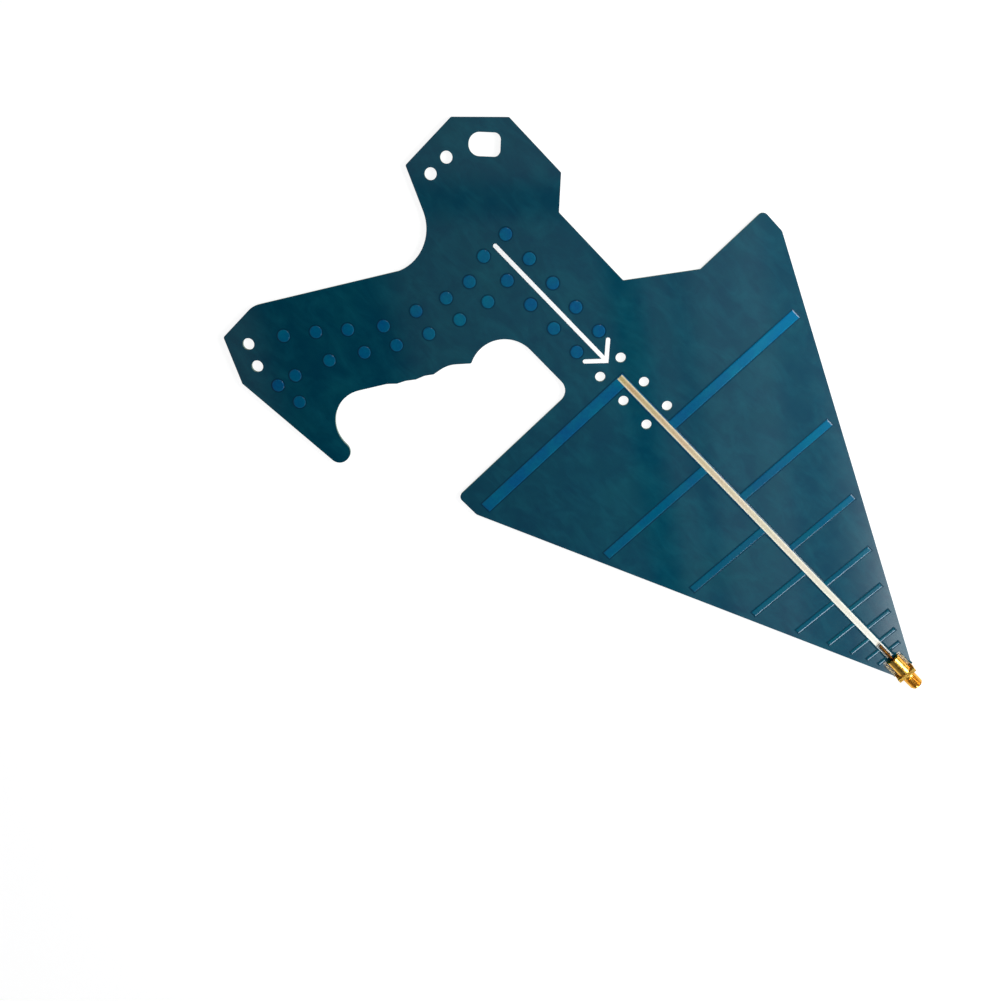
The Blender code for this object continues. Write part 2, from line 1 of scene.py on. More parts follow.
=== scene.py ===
import math

import bmesh
import bpy
from mathutils import Matrix, Vector


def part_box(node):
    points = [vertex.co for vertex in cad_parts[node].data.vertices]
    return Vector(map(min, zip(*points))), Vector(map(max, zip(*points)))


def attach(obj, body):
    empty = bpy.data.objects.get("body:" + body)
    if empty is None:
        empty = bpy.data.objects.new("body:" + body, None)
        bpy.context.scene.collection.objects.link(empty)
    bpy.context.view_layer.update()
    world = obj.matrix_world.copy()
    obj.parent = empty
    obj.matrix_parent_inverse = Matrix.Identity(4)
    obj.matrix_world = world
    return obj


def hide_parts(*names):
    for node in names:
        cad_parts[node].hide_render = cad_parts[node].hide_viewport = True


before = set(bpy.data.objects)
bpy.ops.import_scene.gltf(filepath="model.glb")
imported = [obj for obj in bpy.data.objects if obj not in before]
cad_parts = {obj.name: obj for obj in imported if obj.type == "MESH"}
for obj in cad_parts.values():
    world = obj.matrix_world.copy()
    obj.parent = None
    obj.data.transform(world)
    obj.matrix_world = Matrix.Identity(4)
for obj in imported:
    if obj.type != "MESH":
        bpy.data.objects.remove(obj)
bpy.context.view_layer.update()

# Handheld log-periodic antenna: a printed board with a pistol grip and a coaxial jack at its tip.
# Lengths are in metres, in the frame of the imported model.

MM = 0.001

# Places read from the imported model
BOARD_LOW, BOARD_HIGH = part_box("laminate_board")
BOARD_MIDDLE = (BOARD_LOW.z + BOARD_HIGH.z) / 2
BOARD_HALF = (BOARD_HIGH.z - BOARD_LOW.z) / 2
STRIP_LOW, STRIP_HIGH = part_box("front_boom_plating")
BOOM_Y = (STRIP_LOW.y + STRIP_HIGH.y) / 2
CONTACT_LOW, CONTACT_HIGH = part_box("jack_contact")
JACK_Z = (CONTACT_LOW.z + CONTACT_HIGH.z) / 2
JACK_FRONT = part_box("jack_body")[1].x

# Camera: solved from the board's straight edges, hole pitches and element ratio in the photograph
CAMERA_PLACE = (-0.13083, 0.07465, 0.50477)
CAMERA_TURN = (0.9090877, -0.1581592, -0.0364919, 0.3836843)
CAMERA_LENS, CAMERA_SENSOR = 41.11, 36.0
CAMERA_NEAREST, CAMERA_FARTHEST = 0.01, 50.0

# Rounding that routing, turning and melting leave on the edges, and the steps that draw it
BOARD_EDGE = 0.08 * MM
BRASS_EDGE = 0.07 * MM
SOLDER_EDGE = 0.2 * MM
EDGE_STEPS = 2
SOLDER_STEPS = 4

# Clean-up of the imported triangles
WELD = 0.001 * MM
SAME_PLANE = math.radians(0.5)
SHARP = math.radians(30)
UPRIGHT = 0.9                    # a face whose normal has less z than this isn't the plate's face
LEVEL = 0.9995                   # a face whose normal has more z than this is shaded flat

# How the mask runs down beside the copper: mm outside the copper's edge, and mm over the board
INK_RUN = ((-0.24, 0.160), (-0.14, 0.150), (0.34, 0.006), (0.42, 0.0055), (0.80, 0.003))
INK_TOP = INK_RUN[0][1] * MM
INK_RIM = 0.012 * MM             # depth of the rounded rim of its flat top
INK_SHADE_DEEPEST, INK_CLEAR = 0.02 * MM, 0.10 * MM        # heights of its deepest painted shade and of its clear tone
INK_FADED, INK_FADING = 0.0033 * MM, 0.0058 * MM  # heights between which it fades to the board's tone
DOT_SIDES = 48

# Thread of the jack: 36 turns to the inch on a 6.35 mm barrel
THREAD_PITCH = 25.4 * MM / 36
THREAD_OUTER = 6.35 * MM / 2
THREAD_ROOT = 5.60 * MM / 2
THREAD_CREST = 0.12 * MM
THREAD_BASE = 0.9                # width of the ridge at its foot, as a share of the pitch
THREAD_SUNK = 0.2                # how far its foot goes into the barrel, as a share of its depth
THREAD_RUNOUT = 0.03             # share of the path over which it rises and falls
THREAD_THINNEST = 0.05           # its size at both ends, as a share of the full size
THREAD_CLEAR = 0.45 * MM         # clear of the relief behind it and of the barrel's end
TURN_STEPS = 48

# The jack behind its thread
BARREL_LENGTH = 7.9 * MM
BARREL_SKIN = 2.72 * MM          # what lies farther out than this is the outside of the barrel
RELIEF_LENGTH = 1.0 * MM
RELIEF_END = JACK_FRONT - BARREL_LENGTH + RELIEF_LENGTH
FLANGE_BACK = JACK_FRONT - BARREL_LENGTH - 1.7 * MM
LEG_INSIDE = 3.8 * MM            # from the jack's axis to the legs

# A noise seldom leaves this range
LOW, HIGH = 0.3, 0.7

# Fine relief: how deep bump draws it, in metres
RELIEF = 0.02 * MM
FROST_RELIEF = 0.03 * MM

# Ceiling that the glossy board mirrors, seen through a plane one unit overhead: the directions across
# its panels and its beams, and how bright each is from place to place
ALONG = (0.5692, 0.8450)
UPWARD = (-0.7071, 0.7071)
PANEL_LOW, PANEL_HIGH = -0.36, 0.34
PANELS = ((-0.320, 0.20), (-0.295, 0.00), (-0.190, 0.00), (-0.165, 0.17), (0.006, 0.24), (0.014, 0.00),
          (0.036, 0.00), (0.044, 0.32), (0.060, 0.32), (0.067, 0.12), (0.074, 0.13), (0.086, 0.42),
          (0.120, 0.42), (0.138, 0.56), (0.146, 0.50), (0.154, 0.26), (0.182, 0.28), (0.200, 0.60),
          (0.213, 1.10), (0.221, 1.90), (0.229, 3.60), (0.240, 5.00), (0.246, 5.00), (0.252, 0.30))
BEAM_LOW, BEAM_HIGH = -0.30, 0.0
BEAM = ((0.0, 0.6), (0.35, 1.0), (0.72, 1.05), (0.752, 0.2), (0.817, 0.2), (0.85, 1.25))
BEAM_FADES = (0.0, 0.02)         # where along the panels the beams end
CEILING_STARTS = (0.80, 0.86)    # height of a direction where the ceiling takes over from the walls
LOWEST_RAY = 0.05

# Softboxes: place, point that it faces, width and height, watts and colour
SOFTBOXES = {
    "side_softbox": ((0.14, 0.29, 0.28), (0.05, 0.05, 0.0), (0.30, 0.20), 2.3, "FFFFFF"),
    "tip_softbox": ((0.48, -0.045, 0.19), (0.10, -0.03, 0.0), (0.14, 0.12), 0.9, "D8ECFF"),
}
FLOOR_REACH = 6.0
FLOOR_GREY = (0.25, 0.25, 0.25, 1.0)
FLOOR_GLOW = 0.88

# Settings of nodes that mix colours and that do sums
COLOUR = {"data_type": "RGBA"}
TIMES = {"operation": "MULTIPLY"}
TIMES_PLUS = {"operation": "MULTIPLY_ADD"}
MINUS = {"operation": "SUBTRACT"}
OVER = {"operation": "DIVIDE"}
SIZE_ALONE = {"operation": "ABSOLUTE"}
SINE = {"operation": "SINE"}
SMALLER = {"operation": "MINIMUM"}
LARGER = {"operation": "MAXIMUM"}


def linear(code):
    """sRGB hex to linear, as the shaders want it."""
    values = []
    for start in (0, 2, 4):
        part = int(code[start:start + 2], 16) / 255
        values.append(part / 12.92 if part <= 0.04045 else ((part + 0.055) / 1.055) ** 2.4)
    return (*values, 1.0)


def every(size):
    """The scale of a noise whose features come about this many millimetres apart."""
    return 1 / (size * MM)


def set_stops(elements, stops):
    """The stops of a colour ramp, each a place with a hex colour or a plain brightness."""
    while len(elements) < len(stops):
        elements.new(0.5)
    for element, (place, tone) in zip(elements, stops):
        element.position = place
        element.color = linear(tone) if isinstance(tone, str) else (tone, tone, tone, 1)


def fill(tree, node, inputs):
    """Set inputs, by name or by number: to a value, a hex colour, an output, or a node's result."""
    for key, value in inputs.items():
        slot = node.inputs[int(key[1:]) if key[1:].isdigit() else key.replace("_", " ")]
        if isinstance(value, bpy.types.Node):
            value = value.outputs[2 if getattr(value, "data_type", "") == "RGBA" else 0]
        if isinstance(value, bpy.types.NodeSocket):
            tree.links.new(value, slot)
        else:
            slot.default_value = linear(value) if isinstance(value, str) else value


def add(tree, kind, settings=None, **inputs):
    """Add a node with its settings, its colour stops where it has any, and its inputs."""
    node = tree.nodes.new(kind)
    for key, value in (settings or {}).items():
        if key == "stops":
            set_stops(node.color_ramp.elements, value)
        else:
            setattr(node, key, value)
    fill(tree, node, inputs)
    return node


def material(name):
    """A new material with its node tree, its Principled shader and the place on the object."""
    made = bpy.data.materials.new(name)
    made.use_nodes = True
    tree = made.node_tree
    return made, tree, tree.nodes["Principled BSDF"], add(tree, "ShaderNodeTexCoord").outputs["Object"]


# Solder mask: photo-imaged epoxy ink, sprayed or curtain coated and cured, over woven glass-epoxy.
# A glossy dark teal skin with a faint orange peel; the weave shows through as a fine grid, and the
# routed edges show the bare laminate.
def make_mask():
    made, tree, shader, place = material("solder_mask_over_glass_epoxy")
    axes = add(tree, "ShaderNodeSeparateXYZ", Vector=place)
    # the ink's thickness drifts over 45 mm, with clouds of 7 mm in it
    broad = add(tree, "ShaderNodeTexNoise", Vector=place, Scale=every(45), Detail=2.0, Roughness=0.5)
    cloud = add(tree, "ShaderNodeTexNoise", Vector=place, Scale=every(7), Detail=4.0, Roughness=0.6)
    tone = add(tree, "ShaderNodeValToRGB",
               {"stops": ((LOW, "003145"), (0.5, "01384A"), (0.72, "04404D"))}, Fac=broad)
    clouded = add(tree, "ShaderNodeValToRGB", {"stops": ((LOW, "00344B"), (HIGH, "044353"))}, Fac=cloud)
    tone = add(tree, "ShaderNodeMix", COLOUR, _0=0.45, _6=tone, _7=clouded)
    # glass yarns 0.55 mm apart, a little coarser than the real cloth so that they show
    yarns = 2 * math.pi / (0.55 * MM)
    warp = add(tree, "ShaderNodeMath", TIMES, _0=axes.outputs["X"], _1=yarns)
    weft = add(tree, "ShaderNodeMath", TIMES, _0=axes.outputs["Y"], _1=yarns)
    warp = add(tree, "ShaderNodeMath", SINE, _0=warp)
    weft = add(tree, "ShaderNodeMath", SINE, _0=weft)
    weave = add(tree, "ShaderNodeMath", TIMES, _0=warp, _1=weft)
    lift = add(tree, "ShaderNodeMapRange", Value=weave, From_Min=-1.0, From_Max=1.0, To_Max=0.14)
    tone = add(tree, "ShaderNodeMix", COLOUR, _0=lift, _6=tone, _7="06556A")
    # a thin film of dust and smudges about 18 mm long, wiped along the boom
    smear = add(tree, "ShaderNodeMapping", Vector=place, Scale=(1.0, 2.2, 1.0))
    film = add(tree, "ShaderNodeTexNoise", Vector=smear, Scale=every(18), Detail=6.0, Roughness=0.65,
               Distortion=0.6)
    dusty = add(tree, "ShaderNodeMapRange", Value=film, From_Min=0.44, From_Max=0.72, To_Max=0.24)
    tone = add(tree, "ShaderNodeMix", COLOUR, _0=dusty, _6=tone, _7="146472")
    # bare laminate on the routed walls, mottled by glass fibres drawn 0.4 mm apart so that they show
    normal = add(tree, "ShaderNodeNewGeometry").outputs["True Normal"]
    upright = add(tree, "ShaderNodeSeparateXYZ", Vector=normal)
    level = add(tree, "ShaderNodeMath", SIZE_ALONE, _0=upright.outputs["Z"])
    wall = add(tree, "ShaderNodeMapRange", Value=level, From_Min=0.25, From_Max=0.6, To_Min=1.0,
               To_Max=0.0)
    fibre = add(tree, "ShaderNodeTexNoise", Vector=place, Scale=every(0.4), Detail=3.0)
    glass = add(tree, "ShaderNodeValToRGB", {"stops": ((LOW, "3F5C53"), (HIGH, "64806F"))}, Fac=fibre)
    tone = add(tree, "ShaderNodeMix", COLOUR, _0=wall, _6=tone, _7=glass)
    # orange peel 2.4 mm across with a quarter as much weave in it
    peel = add(tree, "ShaderNodeTexNoise", Vector=place, Scale=every(2.4), Detail=2.0)
    height = add(tree, "ShaderNodeMath", TIMES_PLUS, _0=weave, _1=0.25, _2=peel)
    bump = add(tree, "ShaderNodeBump", Height=height, Strength=0.05, Distance=RELIEF)
    gloss = add(tree, "ShaderNodeMapRange", Value=cloud, From_Min=LOW, From_Max=HIGH, To_Min=0.05,
                To_Max=0.08)
    rough = add(tree, "ShaderNodeMix", _0=wall, _2=gloss, _3=0.75)
    fill(tree, shader, {"Base Color": tone, "Roughness": rough, "Normal": bump, "IOR": 1.52})
    return made


# The same mask over etched copper: the metal below gives back more light, so it is a clear mid blue,
# with slow changes of tone where the ink is thicker, painted shade on the slopes beside the copper and
# painted light on the far wing. It mirrors less than the mask on the bare board.
def make_masked_copper():
    made, tree, shader, place = material("solder_mask_over_etched_copper")
    # the ink's thickness drifts over 11 mm; the etched grain is drawn at 1.1 mm so that it shows
    slow = add(tree, "ShaderNodeTexNoise", Vector=place, Scale=every(11), Detail=2.0)
    fine = add(tree, "ShaderNodeTexNoise", Vector=place, Scale=every(1.1), Detail=3.0)
    tone = add(tree, "ShaderNodeValToRGB",
               {"stops": ((0.32, "004A77"), (0.52, "005475"), (HIGH, "006179"))}, Fac=slow)
    grained = add(tree, "ShaderNodeValToRGB", {"stops": ((LOW, "004570"), (HIGH, "046385"))}, Fac=fine)
    tone = add(tree, "ShaderNodeMix", COLOUR, _0=0.25, _6=tone, _7=grained)
    # darker and greener toward the tip
    axes = add(tree, "ShaderNodeSeparateXYZ", Vector=place)
    toward_tip = add(tree, "ShaderNodeMapRange", Value=axes.outputs["X"], From_Min=-20 * MM,
                     From_Max=130 * MM, To_Max=0.85)
    tone = add(tree, "ShaderNodeMix", COLOUR, _0=toward_tip, _6=tone, _7="00444F")
    # and lighter on the wing away from the grip, the more so toward its end: painted light from that side
    painted_light_far_wing = add(tree, "ShaderNodeMapRange", Value=axes.outputs["Y"], From_Min=30 * MM,
                  From_Max=100 * MM, To_Max=0.5)
    tone = add(tree, "ShaderNodeMix", COLOUR, _0=painted_light_far_wing, _6=tone, _7="0075A0")
    # painted shade: where the ink runs down beside the copper, its slope is drawn dark
    level = add(tree, "ShaderNodeMath", MINUS, _0=axes.outputs["Z"], _1=BOARD_MIDDLE)
    above = add(tree, "ShaderNodeMath", SIZE_ALONE, _0=level)
    slope = add(tree, "ShaderNodeMapRange", Value=above, From_Min=BOARD_HALF + INK_SHADE_DEEPEST,
                From_Max=BOARD_HALF + INK_CLEAR, To_Min=0.85, To_Max=0.0)
    tone = add(tree, "ShaderNodeMix", COLOUR, _0=slope, _6=tone, _7="001F30")
    # farther out it thins to the tone of the bare board
    thin = add(tree, "ShaderNodeMapRange", Value=above, From_Min=BOARD_HALF + INK_FADED,
               From_Max=BOARD_HALF + INK_FADING, To_Min=1.0, To_Max=0.0)
    tone = add(tree, "ShaderNodeMix", COLOUR, _0=thin, _6=tone, _7="013A4C")
    # the slopes are rubbed smooth on the grip, and duller elsewhere
    rubbed = add(tree, "ShaderNodeMapRange", Value=axes.outputs["X"], From_Min=-50 * MM, From_Max=0.0,
                 To_Min=0.07, To_Max=0.19)
    gloss = add(tree, "ShaderNodeMapRange", Value=above, From_Min=BOARD_HALF + INK_TOP - INK_RIM,
                From_Max=BOARD_HALF + INK_TOP, To_Min=rubbed, To_Max=0.07)
    bump = add(tree, "ShaderNodeBump", Height=fine, Strength=0.06, Distance=RELIEF)
    fill(tree, shader, {"Base Color": tone, "Roughness": gloss, "Normal": bump, "IOR": 1.34})
    return made


# Bare copper with a thin gold plating: etched, so its face is finely grained, tan in the middle, with a
# painted highlight making it pale where it rounds off at its sides.
def make_plating():
    made, tree, shader, place = material("immersion_gold_plating_on_copper")
    axes = add(tree, "ShaderNodeSeparateXYZ", Vector=place)
    across = add(tree, "ShaderNodeMath", MINUS, _0=axes.outputs["Y"], _1=BOOM_Y)
    away = add(tree, "ShaderNodeMath", SIZE_ALONE, _0=across)
    side = add(tree, "ShaderNodeMath", OVER, _0=away, _1=(STRIP_HIGH.y - STRIP_LOW.y) / 2)
    # painted highlight: the strip is drawn pale toward both its sides, where it rounds off
    tone = add(tree, "ShaderNodeValToRGB",
               {"stops": ((0.05, "A87E36"), (0.4, "C09A4C"), (0.65, "F6EAC4"), (1.0, "FFFCEA"))}, Fac=side)
    # the bath's tint drifts over 14 mm, and the etched grain is drawn at 0.33 mm so that it shows
    slow = add(tree, "ShaderNodeTexNoise", Vector=place, Scale=every(14), Detail=2.0)
    tint = add(tree, "ShaderNodeValToRGB",
               {"stops": ((LOW, "CCD086"), (0.5, "E8D096"), (HIGH, "E8B486"))}, Fac=slow)
    tone = add(tree, "ShaderNodeMix", COLOUR, _0=0.4, _6=tone, _7=tint)
    grain = add(tree, "ShaderNodeTexNoise", Vector=place, Scale=every(0.33), Detail=3.0)
    grained = add(tree, "ShaderNodeValToRGB", {"stops": ((0.35, "9C7A48"), (0.65, "FAEED2"))}, Fac=grain)
    tone = add(tree, "ShaderNodeMix", COLOUR, _0=0.25, _6=tone, _7=grained)
    # paler and more silvery toward the tip
    paler_toward_tip = add(tree, "ShaderNodeMapRange", Value=axes.outputs["X"], From_Min=STRIP_LOW.x,
                 From_Max=STRIP_HIGH.x - 10 * MM, To_Max=0.75)
    tone = add(tree, "ShaderNodeMix", COLOUR, _0=paler_toward_tip, _6=tone, _7="F8F9F1")
    bump = add(tree, "ShaderNodeBump", Height=grain, Strength=0.25, Distance=RELIEF)
    fill(tree, shader, {"Base Color": tone, "Metallic": 0.55, "Roughness": 0.42, "Normal": bump})
    return made


# Screen-printed epoxy ink: matt and almost white. The tooth that the screen leaves is drawn at
# 0.55 mm, several times the real mesh, so that it shows.
def make_ink():
    made, tree, shader, place = material("screen_printed_white_epoxy_ink")
    grain = add(tree, "ShaderNodeTexNoise", Vector=place, Scale=every(0.55), Detail=2.0)
    tone = add(tree, "ShaderNodeValToRGB", {"stops": ((LOW, "F6F8F8"), (HIGH, "FFFFFF"))}, Fac=grain)
    bump = add(tree, "ShaderNodeBump", Height=grain, Strength=0.2, Distance=RELIEF)
    fill(tree, shader, {"Base Color": tone, "Roughness": 0.65, "Normal": bump})
    return made


# Gold-plated brass: turned and plated, a bright warm yellow. The lathe's rings are drawn 0.12 mm
# apart, about twice the real feed, so that they show from close by.
def make_gold():
    made, tree, shader, place = material("gold_plated_turned_brass")
    axes = add(tree, "ShaderNodeSeparateXYZ", Vector=place)
    turn = add(tree, "ShaderNodeMath", TIMES, _0=axes.outputs["X"], _1=2 * math.pi / (0.12 * MM))
    ring = add(tree, "ShaderNodeMath", SINE, _0=turn)
    cloud = add(tree, "ShaderNodeTexNoise", Vector=place, Scale=every(1.4), Detail=3.0)
    tone = add(tree, "ShaderNodeValToRGB", {"stops": ((LOW, "D79A2E"), (HIGH, "F0C463"))}, Fac=cloud)
    bump = add(tree, "ShaderNodeBump", Height=ring, Strength=0.08, Distance=RELIEF)
    gloss = add(tree, "ShaderNodeMapRange", Value=cloud, From_Min=LOW, From_Max=HIGH, To_Min=0.16,
                To_Max=0.28)
    # the legs are wetted silver by the solder as far as it reaches, with an uneven front
    across = add(tree, "ShaderNodeMath", MINUS, _0=axes.outputs["Y"], _1=BOOM_Y)
    away = add(tree, "ShaderNodeMath", SIZE_ALONE, _0=across)
    on_leg = add(tree, "ShaderNodeMapRange", Value=away, From_Min=LEG_INSIDE,
                 From_Max=LEG_INSIDE + 0.1 * MM)
    uneven = add(tree, "ShaderNodeMath", TIMES_PLUS, _0=cloud, _1=1.6 * MM, _2=axes.outputs["X"])
    reached = add(tree, "ShaderNodeMapRange", Value=uneven, From_Min=FLANGE_BACK - 0.6 * MM,
                  From_Max=FLANGE_BACK - 0.2 * MM, To_Min=1.0, To_Max=0.0)
    wet = add(tree, "ShaderNodeMath", TIMES, _0=on_leg, _1=reached)
    tone = add(tree, "ShaderNodeMix", COLOUR, _0=wet, _6=tone, _7="C9BC9C")
    fill(tree, shader, {"Base Color": tone, "Metallic": 1.0, "Roughness": gloss, "Normal": bump})
    return made


# The same plating on the contact: clean in the barrel, and brown at the soldered pin, with baked flux
# and with a painted dark reflection of the surroundings
def make_flux_and_dark_reflection_gold():
    made, tree, shader, place = material("gold_plating_flux_and_painted_dark_reflection")
    cloud = add(tree, "ShaderNodeTexNoise", Vector=place, Scale=every(1.1), Detail=3.0)
    # the dark browns are partly baked flux and partly a painted dark reflection on the round pin
    tone = add(tree, "ShaderNodeValToRGB",
               {"stops": ((0.35, "4A2A12"), (0.55, "7A5020"), (0.75, "C08A34"))}, Fac=cloud)
    gloss = add(tree, "ShaderNodeMapRange", Value=cloud, From_Min=LOW, From_Max=HIGH, To_Min=0.45,
                To_Max=0.25)
    axes = add(tree, "ShaderNodeSeparateXYZ", Vector=place)
    clean = add(tree, "ShaderNodeMapRange", Value=axes.outputs["X"], From_Min=FLANGE_BACK - 3 * MM,
                From_Max=FLANGE_BACK)
    tone = add(tree, "ShaderNodeMix", COLOUR, _0=clean, _6=tone, _7="E2AE48")
    fill(tree, shader, {"Base Color": tone, "Metallic": 1.0, "Roughness": gloss})
    return made


# Turned fluoropolymer: waxy white, slightly see-through, satin
def make_insulator():
    made, tree, shader, place = material("turned_fluoropolymer")
    cloud = add(tree, "ShaderNodeTexNoise", Vector=place, Scale=every(1.1), Detail=2.0)
    tone = add(tree, "ShaderNodeValToRGB", {"stops": ((LOW, "D2CFC4"), (HIGH, "E2DFD6"))}, Fac=cloud)
    fill(tree, shader, {"Base Color": tone, "Roughness": 0.45, "Subsurface Weight": 0.1,
                        "Subsurface Radius": (MM, MM, MM)})
    return made


# Tin-lead or tin-silver solder, melted and frozen: bright grey metal. Its frosting is drawn at
# 0.4 mm, coarser than the real grains, so that it shows.
def make_solder():
    made, tree, shader, place = material("reflowed_tin_solder")
    frost = add(tree, "ShaderNodeTexNoise", Vector=place, Scale=every(0.4), Detail=3.0)
    tone = add(tree, "ShaderNodeValToRGB", {"stops": ((LOW, "A9A8A4"), (HIGH, "DEDCD6"))}, Fac=frost)
    bump = add(tree, "ShaderNodeBump", Height=frost, Strength=0.2, Distance=FROST_RELIEF)
    gloss = add(tree, "ShaderNodeMapRange", Value=frost, From_Min=LOW, From_Max=HIGH, To_Min=0.2,
                To_Max=0.4)
    fill(tree, shader, {"Base Color": tone, "Metallic": 1.0, "Roughness": gloss, "Normal": bump})
    return made


def placed(name, data):
    """A new object in the scene."""
    item = bpy.data.objects.new(name, data)
    bpy.context.scene.collection.objects.link(item)
    return item


def finish_mesh(mesh, look):
    """One material, round shading on what curves, and flat shading on the level faces."""
    mesh.materials.clear()
    mesh.materials.append(look)
    mesh.shade_smooth()
    mesh.set_sharp_from_angle(angle=SHARP)
    for polygon in mesh.polygons:
        polygon.material_index = 0
        if abs(polygon.normal.z) > LEVEL:
            polygon.use_smooth = False


def softened(name, node, look, edge, steps=EDGE_STEPS, reshape=None):
    """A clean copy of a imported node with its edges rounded, changed by reshape first."""
    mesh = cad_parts[node].data.copy()
    mesh.name = name
    work = bmesh.new()
    work.from_mesh(mesh)
    bmesh.ops.remove_doubles(work, verts=work.verts, dist=WELD)
    if reshape:
        reshape(work)
    bmesh.ops.dissolve_limit(work, angle_limit=SAME_PLANE, verts=work.verts, edges=work.edges)
    work.normal_update()
    sharp = [line for line in work.edges if len(line.link_faces) == 2 and line.calc_face_angle() > SHARP]
    bmesh.ops.bevel(work, geom=sharp, offset=edge, segments=steps, profile=0.5, affect="EDGES",
                    clamp_overlap=True)
    bmesh.ops.recalc_face_normals(work, faces=work.faces)
    work.to_mesh(mesh)
    work.free()
    finish_mesh(mesh, look)
    return placed(name, mesh)


def outline_of(node, face):
    """The outline of a packed plate, anticlockwise seen from above, from its upper or lower face."""
    work = bmesh.new()
    work.from_mesh(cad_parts[node].data)
    bmesh.ops.remove_doubles(work, verts=work.verts, dist=WELD)
    work.normal_update()
    after = {}
    for polygon in work.faces:
        if polygon.normal.z * face < UPRIGHT:
            continue
        for loop in polygon.loops:
            other = loop.link_loop_radial_next.face
            if other.normal.z * face < UPRIGHT:
                after[loop.vert.index] = (loop.link_loop_next.vert.index, loop.vert.co.xy.copy())
    start = next(iter(after))
    points = []
    at = start
    while True:
        following, place = after[at]
        points.append(place)
        at = following
        if at == start:
            break
    work.free()
    return points if face > 0 else points[::-1]


def widened(points, distance):
    """The outline moved outward, mitred at its corners."""
    moved = []
    for before, here, after in zip(points[-1:] + points[:-1], points, points[1:] + points[:1]):
        first = (here - before).normalized()
        second = (after - here).normalized()
        first = Vector((first.y, -first.x))
        second = Vector((second.y, -second.x))
        moved.append(here + (first + second) * (distance / (1 + first.dot(second))))
    return moved


def ink_over(name, points, face, look):
    """The mask over a copper shape: its flat top and the slope by which it runs down to the board."""
    ground = BOARD_HIGH.z if face > 0 else BOARD_LOW.z
    mesh = bpy.data.meshes.new(name)
    work = bmesh.new()
    rings = []
    for reach, height in INK_RUN:
        level = ground + face * height * MM
        rings.append([work.verts.new((place.x, place.y, level)) for place in widened(points, reach * MM)])
    count = len(points)
    for upper, lower in zip(rings, rings[1:]):
        for k in range(count):
            work.faces.new((upper[k], lower[k], lower[(k + 1) % count], upper[(k + 1) % count]))
    work.faces.new(rings[0])
    work.faces.new(rings[-1][::-1])
    bmesh.ops.recalc_face_normals(work, faces=work.faces)
    work.to_mesh(mesh)
    work.free()
    mesh.materials.append(look)
    return placed(name, mesh)


def dress(node, look):
    """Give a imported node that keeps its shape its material."""
    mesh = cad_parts[node].data
    mesh.materials.clear()
    mesh.materials.append(look)


def install(piece, slot, *nodes):
    """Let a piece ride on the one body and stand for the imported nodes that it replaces."""
    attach(piece, "root")
    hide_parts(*nodes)


def slim_barrel(work):
    """Take the threaded part of the barrel down to the thread's root."""
    for vert in work.verts:
        radius = math.hypot(vert.co.y - BOOM_Y, vert.co.z - JACK_Z)
        if vert.co.x > RELIEF_END - WELD and radius > BARREL_SKIN:
            share = THREAD_ROOT / radius
            vert.co.y = BOOM_Y + (vert.co.y - BOOM_Y) * share
            vert.co.z = JACK_Z + (vert.co.z - JACK_Z) * share


def tree_with(name, inputs):
    """A geometry tree with named inputs; returns the tree, its Group Input and its Group Output."""
    tree = bpy.data.node_groups.new(name, "GeometryNodeTree")
    tree.interface.new_socket("Geometry", in_out="INPUT", socket_type="NodeSocketGeometry")
    for label, kind in inputs.items():
        tree.interface.new_socket(label, in_out="INPUT", socket_type="NodeSocket" + kind)
    tree.interface.new_socket("Geometry", in_out="OUTPUT", socket_type="NodeSocketGeometry")
    return tree, tree.nodes.new("NodeGroupInput"), tree.nodes.new("NodeGroupOutput")


def grow(name, places, tree, values):
    """Run a geometry tree on a few points and return the result as a plain mesh object."""
    points = bpy.data.meshes.new(name + "_places")
    points.from_pydata(places, [], [])
    seed = placed(name + "_seed", points)
    step = seed.modifiers.new(name, "NODES")
    step.node_group = tree
    for item in tree.interface.items_tree:
        if item.item_type == "SOCKET" and item.in_out == "INPUT" and item.name in values:
            step[item.identifier] = values[item.name]
    graph = bpy.context.evaluated_depsgraph_get()
    mesh = bpy.data.meshes.new_from_object(seed.evaluated_get(graph))
    bpy.data.objects.remove(seed, do_unlink=True)
    mesh.name = name
    return placed(name, mesh)


def make_dots(nodes, look):
    """One inked disc on each packed dot."""
    tree, given, result = tree_with("inked_grip_dots", {"Disc": "Object", "Look": "Material"})
    disc = add(tree, "GeometryNodeObjectInfo", _0=given.outputs["Disc"]).outputs["Geometry"]
    copies = add(tree, "GeometryNodeInstanceOnPoints", Points=given.outputs["Geometry"], Instance=disc)
    real = add(tree, "GeometryNodeRealizeInstances", Geometry=copies)
    painted = add(tree, "GeometryNodeSetMaterial", Geometry=real, Material=given.outputs["Look"])
    fill(tree, result, {"Geometry": painted})
    boxes = [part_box(node) for node in nodes]
    radius = (boxes[0][1].x - boxes[0][0].x) / 2
    turns = [2 * math.pi * k / DOT_SIDES for k in range(DOT_SIDES)]
    rim = [Vector((math.cos(turn), math.sin(turn))) * radius for turn in turns]
    form = ink_over("dot_form", rim, 1, look)
    places = [((low.x + high.x) / 2, (low.y + high.y) / 2, 0) for low, high in boxes]
    piece = grow("masked_grip_dots", places, tree, {"Disc": form, "Look": look})
    bpy.data.objects.remove(form, do_unlink=True)
    return piece


